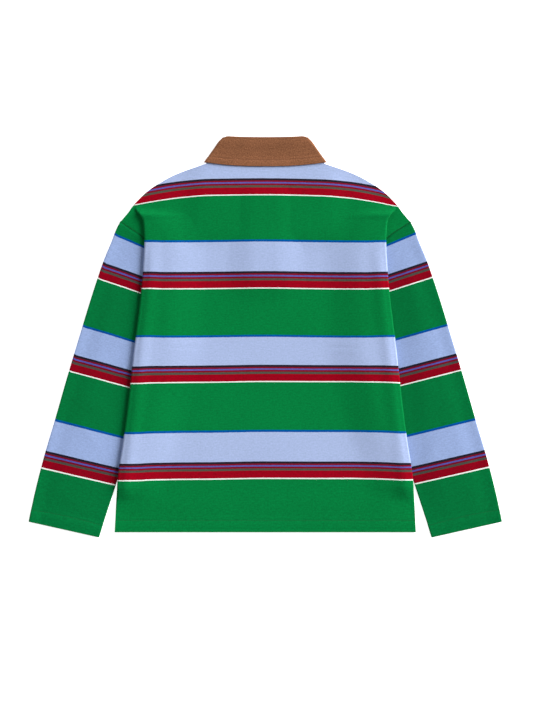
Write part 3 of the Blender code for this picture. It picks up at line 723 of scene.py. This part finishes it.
lay = bodyLay(body["frontCells"], body["slitHalf"], frontInner)
half, wall = (lay["gap"] / 2)[..., None], lay["wall"][..., None]
slack = (lay["full"] - lay["wall"])[..., None] / 2
press = groove(lay["mid"][..., 1:2] - hemLine)
frontTop = lay["mid"] - lay["normal"] * (half + slack)
frontLow = lay["mid"] - lay["normal"] * (half + slack + wall + press)
cells = np.ones((frontTop.shape[0] - 1, frontTop.shape[1] - 1), bool)
cells[lay["place"][:-1] < body["slitRow"], frontTop.shape[1] // 2 - 1] = False
front = addWall("front", frontTop, frontLow, lay["uv"], jersey, cells)
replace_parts(front, "front_panel")
hemLines.append((frontLow[hemRow][::-1], -lay["normal"][hemRow][::-1]))
print("front made")

sleeve = {
    "cuffOuter": (435.3, -343.0), "cuffInner": (309.5, -371.2), "length": 560.0,
    "lapY": -270.0, "innerSlope": 0.33, "outerRamp": 45.0, "innerMargin": 6.0,
    "capShare": 0.2, "cuffShare": 0.8, "cuffLoss": 0.8,   # where the swell rises and sinks
    "edgeLift": 0.9, "edgeDip": 0.5, "edgeReach": 24.0, "edgeShare": 0.1, "dipReach": 1.6,
    "seamWidth": 2.0, "seamDepth": 1.4, "hemStep": 0.003, "rims": (0.9975, 0.999, 0.9996, 1.0),
    "rings": (0.0, 0.012, 0.07, 0.15, 0.25, 0.36, 0.48, 0.6, 0.72, 0.84, 0.9), "ringStep": 0.009,
    "noseCells": 10}
sleeveSides = {"right": {"way": 1.0, "loft": 2.2, "innerRamp": 44.0},
               "left": {"way": -1.0, "loft": 1.5, "innerRamp": 70.0}}

sleeveCreases = {
    "span": 130.0, "reach": 60.0,
    "share": (0.30, 0.42, 0.55, 0.66, 0.78, 0.22, 0.88),
    "along": (0.5, 0.75, 0.35, 0.6, 0.45, 0.7, 0.3),
    "lean": (18.0, -14.0, 22.0, -10.0, 16.0, 24.0, -12.0),
    "width": (11.0, 12.0, 14.0, 12.0, 13.0, 10.0, 12.0),
    "height": (0.5, -0.45, 0.5, 0.4, -0.4, -0.4, 0.35)}


# plan of the sleeve: the seam line blended into the cuff line, and moved so that its outer side
# follows the outline while its inner edge stays straight
def sleevePlan():
    ys = fineRows(rowYs, body["rowStep"])[0]
    ys = ys[(ys <= body["shoulderY"] + body["near"]) & (ys >= body["underarmY"] - body["near"])]
    seam = np.stack([column(armhole, "half", ys), ys], axis=-1)
    walk = np.concatenate([[0.0], np.cumsum(np.linalg.norm(np.diff(seam, axis=0), axis=1))])
    share = walk / walk[-1]
    outerEnd, innerEnd = np.array(sleeve["cuffOuter"]), np.array(sleeve["cuffInner"])
    hems = [1 - body["hemDepth"] / (seam[k, 1] - end[1])
            for k, end in ((0, outerEnd), (-1, innerEnd))]
    step = sleeve["hemStep"]
    marks = [np.array(sleeve["rings"] + (hem - step, hem, hem + step) + sleeve["rims"])
             for hem in hems]
    counts = np.maximum(1, np.ceil(np.diff(marks[0]) / sleeve["ringStep"])).astype(int)
    stops = np.concatenate([[0], np.cumsum(counts)])
    outerShare, innerShare = (np.interp(np.arange(stops[-1] + 1), stops, mark) for mark in marks)
    outerY = seam[0, 1] + (outerEnd[1] - seam[0, 1]) * outerShare
    outerX = column(outline, "half", outerY) - (body["cloth"] + body["layerGap"] / 2)
    outerX[0], outerX[-1] = seam[0, 0], outerEnd[0]
    outer = np.stack([outerX, outerY], axis=-1)
    outerShift = outer - (seam[0] + np.outer(outerShare, outerEnd - seam[0]))
    cuff = outerEnd + np.outer(share, innerEnd - outerEnd)
    k = (outerShare[:, None] + (innerShare - outerShare)[:, None] * share)[..., None]
    plan = (1 - k) * seam + k * cuff + (1 - share)[:, None] * outerShift[:, None]
    return plan, outerShare, share


# the flattened tube: a top that swells a little between its edges, half round noses and a flat
# underside, thickened at the hem and rounded at the cuff's end; gives its two faces, cloth
# coordinates and the lines of the cuff's stitches
def sleeveGrids(side):
    plan, share, across = sleevePlan()
    cuffAt = 1 - body["hemDepth"] / sleeve["length"]
    hem = smoothStep((share - cuffAt) * sleeve["length"] / body["hemSoft"] + 0.5)[:, None]
    wall = body["cloth"] + (body["hemCloth"] - body["cloth"]) * hem
    middle, reach = wall + body["layerGap"] / 2, (wall + body["layerGap"]) / 2
    x, y = plan[..., 0], plan[..., 1]
    cover = np.where(y > sleeve["lapY"], column(bodyEdge, "half", y), 0.0)
    below = sleeve["cuffInner"][0] + (sleeve["cuffInner"][1] - y) * sleeve["innerSlope"]
    fromOuter = smoothStep((column(outline, "half", y) - x) / sleeve["outerRamp"])
    fromInner = smoothStep((x - np.maximum(cover, below) - sleeve["innerMargin"])
                           / side["innerRamp"])
    swell = fromOuter * fromInner * smoothStep(share / sleeve["capShare"])[:, None]
    nearCuff = smoothStep((share - sleeve["cuffShare"]) / (1 - sleeve["cuffShare"]))[:, None]
    puff = side["loft"] * swell * (1 - sleeve["cuffLoss"] * nearCuff)
    table = {key: np.asarray(values) for key, values in sleeveCreases.items()}
    down = (share[:, None, None] - table["share"]) * sleeve["length"]
    off = (across[None, :, None] - table["along"]) * table["span"]
    lean = np.radians(table["lean"])
    ridge = np.exp(-((down * np.cos(lean) + off * np.sin(lean)) / table["width"]) ** 2
                   - (off / table["reach"]) ** 4)
    puff = puff + swell * (table["height"] * ridge).sum(axis=-1)
    inward = (column(outline, "half", y) - x) / sleeve["edgeReach"]
    started = smoothStep(share / sleeve["edgeShare"])[:, None]
    lift = sleeve["edgeLift"] * (1 - smoothStep(inward)) * started
    dip = smoothStep(inward) * np.exp(-(inward / sleeve["dipReach"]) ** 4)
    puff = puff - sleeve["edgeDip"] * dip * started
    cuffGroove = groove((share - cuffAt) * sleeve["length"])[:, None]
    seamGroove = groove(share * sleeve["length"], sleeve["seamWidth"], sleeve["seamDepth"])[:, None]
    flat = np.stack([0 * x, 0 * x, 0 * x + 1.0], axis=-1)
    swollen = middle + reach + puff + cuffGroove + seamGroove + lift
    top = np.stack([x, y, swollen], axis=-1)[:, ::-1]
    low = np.stack([x, y, middle - reach + lift - cuffGroove], axis=-1)
    noses, turns = [], np.linspace(0.0, 180.0, sleeve["noseCells"] + 1)[1:-1]
    for edge, beside, turned in ((0, 1, turns), (-1, -2, turns[::-1])):
        out = unit(plan[:, edge] - plan[:, beside])[:, None]
        angle = np.radians(turned)[None, :, None]
        normal = np.concatenate([out * np.sin(angle), 0 * out[..., :1] + np.cos(angle)], axis=-1)
        centre = np.concatenate([plan[:, edge], middle + lift[:, [edge]]], axis=1)[:, None]
        noses.append((centre + reach[..., None] * normal, normal))
    mid = np.concatenate([top, noses[0][0], low, noses[1][0]], axis=1)
    normal = np.concatenate([flat, noses[0][1], -flat, noses[1][1]], axis=1)
    thick = (wall * rimShare((1 - share) * sleeve["length"])[:, None])[..., None] / 2
    outside, inside = mid + normal * thick, mid - normal * thick
    closed = np.concatenate([outside, outside[:, :1]], axis=1)
    walk = np.cumsum(np.linalg.norm(np.diff(closed, axis=1), axis=2), axis=1)
    u = np.concatenate([0 * walk[:, :1], walk], axis=1)
    phase = sleevePhase(side["way"] * closed[..., 0], closed[..., 1])
    uv = np.stack([u, downCloth(phase)], axis=-1)
    cuffRow = int(np.argmin(np.abs(share - cuffAt)))
    wide, nose = len(across), len(turns)
    flats = (slice(0, wide), slice(-nose - wide, -nose))
    cuff = [(outside[cuffRow, part], normal[cuffRow, part]) for part in flats]
    if side["way"] > 0:
        return outside, inside, uv, cuff
    mirrored = np.array([-1.0, 1.0, 1.0])
    outside, inside = outside[:, ::-1] * mirrored, inside[:, ::-1] * mirrored
    cuff = [tuple((part * mirrored)[::-1] for part in line) for line in cuff]
    return outside, inside, uv[:, ::-1], cuff


# painted shade: the sleeves wear the body's cloth, painted darker
shadedSleeveJersey = jerseyFinish("striped_jersey_sleeve_painted_shade", knit["sleevePaintedShade"])
sleeves, cuffLines = {}, []
for name, side in sleeveSides.items():
    outside, inside, uv, cuff = sleeveGrids(side)
    sleeves[name] = addWall("sleeve_of_" + name, outside, inside, uv, shadedSleeveJersey, ring=True)
    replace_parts(sleeves[name], "sleeve_" + name)
    cuffLines += cuff
print("sleeves made")

collar = {
    "cloth": 1.6, "midZ": 3.9, "standReach": 1.1, "fallReach": 3.1, "topY": 370.9,
    "topHalf": 79.2, "topDrop": 2.2, "edgeHalf": 112.6, "edgeY": 321.5, "edgeDrop": 7.2,
    "standFront": 24.0, "leafDepth": 86.0, "fallDepth": 50.0, "leafSpread": 44.0,
    "endHalf": 1.5, "endSpread": 1.0, "seamSpread": 1.0,   # room at the ends, and at the seam
    "cornerReach": 10.0, "cornerDrop": 2.6, "cornerPower": 2.5, "cornerFade": 4,
    "swellAt": (0.0, 3.0, 9.0, 20.0, 33.0, 44.0, 50.0), "swellStart": 3.0,
    "swell": (0.0, 0.5, 0.75, 0.1, 0.0, 0.35, 0.3),
    "stitchFromEdge": 12.0, "stitchEnds": 8, "pressWidth": 1.1, "pressDepth": 0.45,
    "rimShare": 0.4, "standCells": 14, "turnCells": 12, "fallCells": 40, "fallPower": 0.9,
    "rimRows": (0.975, 0.99, 0.997), "backCells": 44, "sideCells": 14, "frontCells": 40}


# loops of the collar from the neck seam over the fold line to the free edge; each runs from the
# centre back, round a half circle at the side, to the centre front
def collarLoops():
    c = collar
    bend = (c["fallReach"] - c["standReach"]) / 2
    foldY = c["topY"] - bend - c["cloth"] / 2
    seamY, frontY = body["neckY"], body["frontNeckY"]
    topHalf, edgeHalf = c["topHalf"] - c["fallReach"], c["edgeHalf"] - c["fallReach"]
    stand = np.linspace(0.0, 1.0, c["standCells"])[:, None]
    turned = np.linspace(0.0, np.pi, c["turnCells"] + 2)[1:-1, None]
    fall = np.linspace(0.0, 1.0, c["fallCells"])[:, None] ** c["fallPower"]
    fall = np.concatenate([fall[:-1], np.array(c["rimRows"])[:, None], fall[-1:]])

    # one value for each loop, from its formulas on the stand, round the fold and on the fall
    def join(*parts):
        return np.concatenate([part + 0 * base
                               for part, base in zip(parts, (stand, turned, fall))])

    curve = join(body["neckHalf"] + stand * (topHalf - body["neckHalf"]), topHalf,
                 topHalf + fall * (edgeHalf - topHalf))
    half = join(curve[:len(stand)] + c["seamSpread"] * (1 - stand), topHalf, curve[-len(fall):])
    r = join(c["standReach"], c["standReach"] + bend * (1 - np.cos(turned)), c["fallReach"])
    sideAt = join(seamY + stand * (foldY - seamY), foldY + bend * np.sin(turned),
                  foldY + fall * (c["edgeY"] - foldY))
    drop = join(body["backNeckDrop"] + (c["topDrop"] - body["backNeckDrop"]) * stand, c["topDrop"],
                c["topDrop"] + (c["edgeDrop"] - c["topDrop"]) * fall)
    foldFront, foldEnd = frontY + c["standFront"], c["endHalf"] + c["endSpread"]
    front = join(frontY + c["standFront"] * stand, foldFront + bend * np.sin(turned),
                 foldFront - c["leafDepth"] * fall)
    end = join(c["endHalf"] + c["endSpread"] * stand, foldEnd, foldEnd + c["leafSpread"] * fall)
    x = half * np.linspace(0.0, 1.0, c["backCells"] + 1)
    backY = sideAt - drop + drop * (x / curve) ** body["neckCurve"]
    nearFold = c["cornerDrop"] * join(stand ** c["cornerFade"], 1.0, (1 - fall) ** c["cornerFade"])
    corner = np.clip(1 - (half - x) / c["cornerReach"], 0.0, 1.0) ** c["cornerPower"]
    backY = backY - nearFold * corner
    backPart = np.stack([x, backY, 0 * x + c["midZ"] + r], axis=-1)
    x = half + (end - half) * np.linspace(0.0, 1.0, c["frontCells"] + 1)
    frontYs = front + (sideAt - front) * (x / curve) ** body["neckCurve"]
    corner = np.clip(1 - (half - x) / c["cornerReach"], 0.0, 1.0) ** c["cornerPower"]
    frontYs = frontYs - nearFold * corner
    leafPart = np.stack([x, frontYs, 0 * x + c["midZ"] - r], axis=-1)
    around = np.pi * np.linspace(0.0, 1.0, c["sideCells"] + 2)[1:-1]
    sideY = backY[:, -1:] + (frontYs[:, :1] - backY[:, -1:]) * around / np.pi
    turnPart = np.stack([half + r * np.sin(around), sideY, c["midZ"] + r * np.cos(around)],
                        axis=-1)
    return np.concatenate([backPart, turnPart, leafPart], axis=1)


mid = bothHalves(collarLoops(), True, (-1.0, 1.0, 1.0))
normal = unit(np.cross(np.gradient(mid, axis=0), np.gradient(mid, axis=1)))
steps = np.linalg.norm(np.diff(mid, axis=0), axis=2)
middle = mid.shape[1] // 2
depth = np.concatenate([[0.0], np.cumsum(steps[:, middle])])
loopSteps = np.linalg.norm(np.diff(mid[-1], axis=0), axis=1)
around = np.concatenate([[0.0], np.cumsum(loopSteps)])
uv = np.stack(np.broadcast_arrays(around[None, :], depth[:, None]), axis=-1)
fromEdge = depth[-1] - depth
fromFold = np.maximum(depth - (depth[-1] - collar["fallDepth"]), 0.0)
swell = smoothThrough(collar["swellAt"], collar["swell"], fromFold)[:, None]
swell = swell * (mid[..., 2] > collar["midZ"])
swell = swell * smoothStep(fromFold / collar["swellStart"])[:, None]
mid = mid + normal * swell[..., None]
press = groove(fromEdge - collar["stitchFromEdge"], collar["pressWidth"], collar["pressDepth"])
press = press[:, None, None]
fromEnd = np.minimum(around, around[-1] - around)
fromRim = np.minimum(fromEdge[:, None], fromEnd[None, :])
thick = (collar["cloth"] / 2 * rimShare(fromRim, least=collar["rimShare"]))[..., None]
collarTop = mid + normal * (thick + press)
collarPiece = addWall("rib_collar", collarTop, mid - normal * thick, uv, ribFinish())
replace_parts(collarPiece, "collar")
edgeRow = int(np.argmin(np.abs(fromEdge - collar["stitchFromEdge"])))
sewn = slice(collar["stitchEnds"], -collar["stitchEnds"])
collarLines = [(collarTop[edgeRow, sewn], normal[edgeRow, sewn])]
print("collar made, stand and fall", round(float(depth[-1]), 1), "mm deep")


# a band of the placket on the underside: a grid whose wall thins to its rim over the roll
def placketBand(name, low, stitchedBelow):
    p = placket
    xs = np.linspace(-p["half"], p["half"], p["columns"])
    ys = np.linspace(p["top"], p["bottom"], p["rows"])
    xs[1], xs[-2] = xs[0] + p["rollCell"], xs[-1] - p["rollCell"]
    ys[1], ys[-2] = ys[0] - p["rollCell"], ys[-1] + p["rollCell"]
    x, y = np.meshgrid(xs, ys)
    fromRim = np.minimum(p["half"] - np.abs(x), np.minimum(p["top"] - y, y - p["bottom"]))
    thick = body["cloth"] * rimShare(fromRim, p["roll"], p["rimShare"])
    centre = low + body["cloth"] / 2
    top, base = (np.stack([x, y, centre + way * thick / 2], axis=-1) for way in (1.0, -1.0))
    uv = np.stack([x, downCloth(bodyPhase(x, y))], axis=-1)
    piece = addWall(name, top, base, uv, jersey)
    sewnX, sewnLow = p["half"] - p["inset"], p["bottom"] + p["inset"]
    sewnTop = p["top"] - p["insetTop"]
    corners = np.array([(-sewnX, sewnTop), (-sewnX, sewnLow), (sewnX, sewnLow), (sewnX, sewnTop)])
    z = low if stitchedBelow else low + body["cloth"]
    path = np.stack([corners[:, 0], corners[:, 1], 0 * corners[:, 0] + z], axis=-1)
    up = np.zeros_like(path) + np.array([0.0, 0.0, -1.0 if stitchedBelow else 1.0])
    return piece, [(path[n:n + 2], up[n:n + 2]) for n in range(3)]


bandApart = body["layerGap"] / 2
overLow = placket["lift"] - bandApart - body["cloth"]
over, overLines = placketBand("placket_outer", overLow, True)
underLow = placket["lift"] + body["cloth"] + bandApart
under, underLines = placketBand("placket_inner", underLow, False)
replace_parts(over, "placket_over")
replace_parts(under, "placket_under")

buttons = {
    "ys": (242.0, 194.0, 146.0), "standoff": 0.3, "sides": 64,
    "profileR": (0.0, 2.0, 3.6, 4.2, 4.8, 5.4, 5.8, 6.0),
    "profileZ": (1.25, 1.25, 1.3, 1.55, 1.78, 1.72, 1.45, 1.05),
    "faceRings": (0.12, 4.6, 24), "rimRings": (4.8, 6.0, 8),
    "holes": ((1.0, 1.0), (1.0, -1.0), (-1.0, 1.0), (-1.0, -1.0)), "holeAt": 1.224,
    "holeRadius": 0.87, "holeSoft": 0.3, "holeDepth": 0.95, "sharp": 50.0}


# a turned disc on a polar grid, its face dished inside the rim and sunk at the four holes; the
# face looks down, and the flat back lies on the placket
def addButton(name, y, finish):
    b, sides = buttons, buttons["sides"]
    rings = np.concatenate([np.linspace(*b["faceRings"]), np.linspace(*b["rimRings"])])
    angle = np.arange(sides) * 2 * np.pi / sides
    height = np.interp(rings, b["profileR"], b["profileZ"])[:, None] + 0 * angle
    x, v = rings[:, None] * np.cos(angle), rings[:, None] * np.sin(angle)
    for sx, sy in b["holes"]:
        away = np.hypot(x - sx * b["holeAt"], v - sy * b["holeAt"])
        height = height - b["holeDepth"] * smoothStep((b["holeRadius"] - away) / b["holeSoft"])
    top = overLow - b["standoff"]
    face = np.stack([x, y + v, top - height], axis=-1)
    flat = np.stack([x, y + v, top + 0 * height], axis=-1)
    points = np.concatenate([face.reshape(-1, 3), flat.reshape(-1, 3)])
    index = np.arange(len(rings) * sides).reshape(-1, sides)
    index = np.concatenate([index, index[:, :1]], axis=1)
    quads = np.stack([index[:-1, :-1], index[1:, :-1], index[1:, 1:], index[:-1, 1:]], axis=-1)
    quads = quads.reshape(-1, 4)
    low = len(rings) * sides
    here, after = index[-1, :-1], index[-1, 1:]
    rim = np.stack([here, here + low, after + low, after], axis=-1)
    centre = np.stack([points[:sides].mean(axis=0), points[low:low + sides].mean(axis=0)])
    hub = len(points)
    here, after = index[0, :-1], index[0, 1:]
    fan = np.stack([0 * here + hub, here, after], axis=-1)
    lowFan = np.stack([0 * here + hub + 1, after + low, here + low], axis=-1)
    faces = quads[:, ::-1].tolist() + (quads + low).tolist() + rim.tolist()
    faces += fan[:, ::-1].tolist() + lowFan[:, ::-1].tolist()
    piece = addMesh(name, np.concatenate([points, centre]), faces, finish, sharp=b["sharp"])
    return piece


ivory = buttonFinish()
for number, y in enumerate(buttons["ys"], start=1):
    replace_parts(addButton(f"button_face_{number}", y, ivory), f"button_{number}")
print("placket and buttons made")

threadDye = {"green": (0.0005, 0.070, 0.017, 1.0), "brown": (0.13, 0.053, 0.026, 1.0),
             # painted shade: the seam thread is near black, for the shadow along the armhole seam
             # beside its groove
             "seam": (0.0001, 0.020, 0.006, 1.0)}
greenThread = threadFinish("green_thread", threadDye["green"])
brownThread = threadFinish("brown_thread", threadDye["brown"])
seamShadeThread = threadFinish("seam_thread_painted_shade", threadDye["seam"])
hemStitches = addStitches("hem_stitches", hemLines, greenThread)
cuffStitches = addStitches("cuff_stitches", cuffLines, greenThread)
collarStitches = addStitches("collar_stitches", collarLines, brownThread)
seamStitches = addStitches("seam_stitches", seamLines, seamShadeThread)
placketStitches = addStitches("placket_stitches", overLines + underLines, greenThread)
print("stitches made")

studio = {"floor": 6.0, "drop": 0.0002, "world": 0.24, "cameraAt": (0.0022, -0.0352, 6.4),
          "lens": 175.2}
softboxes = {"name": ("key", "fill"), "strength": (6.61, 0.85), "angle": (40.0, 50.0),
             "tilt": (65.0, 66.0), "turn": (116.0, 240.0)}

half, low = studio["floor"], -studio["drop"]
corners = [(-half, -half, low), (half, -half, low), (half, half, low), (-half, half, low)]
floorMesh = bpy.data.meshes.new("floor")
floorMesh.from_pydata(corners, [], [(0, 1, 2, 3)])
floorMesh.materials.append(floorFinish())
floor = bpy.data.objects.new("floor", floorMesh)
bpy.context.collection.objects.link(floor)

world = bpy.data.worlds.new("studio")
world.use_nodes = True
background = world.node_tree.nodes["Background"].inputs
background["Color"].default_value = (1.0, 1.0, 1.0, 1.0)
background["Strength"].default_value = studio["world"]
bpy.context.scene.world = world

for name, strength, angle, tilt, turned in zip(*softboxes.values()):
    light = bpy.data.lights.new(name, "SUN")
    light.energy, light.angle = strength, np.radians(angle)
    lightObject = bpy.data.objects.new(name, light)
    lightObject.rotation_euler = (np.radians(tilt), 0.0, np.radians(turned))
    bpy.context.collection.objects.link(lightObject)

camera = bpy.data.cameras.new("camera")
camera.lens = studio["lens"]
cameraObject = bpy.data.objects.new("camera", camera)
cameraObject.location = studio["cameraAt"]
bpy.context.collection.objects.link(cameraObject)
bpy.context.scene.camera = cameraObject
bpy.context.scene.view_settings.view_transform = "Standard"
print("floor, light and camera set")
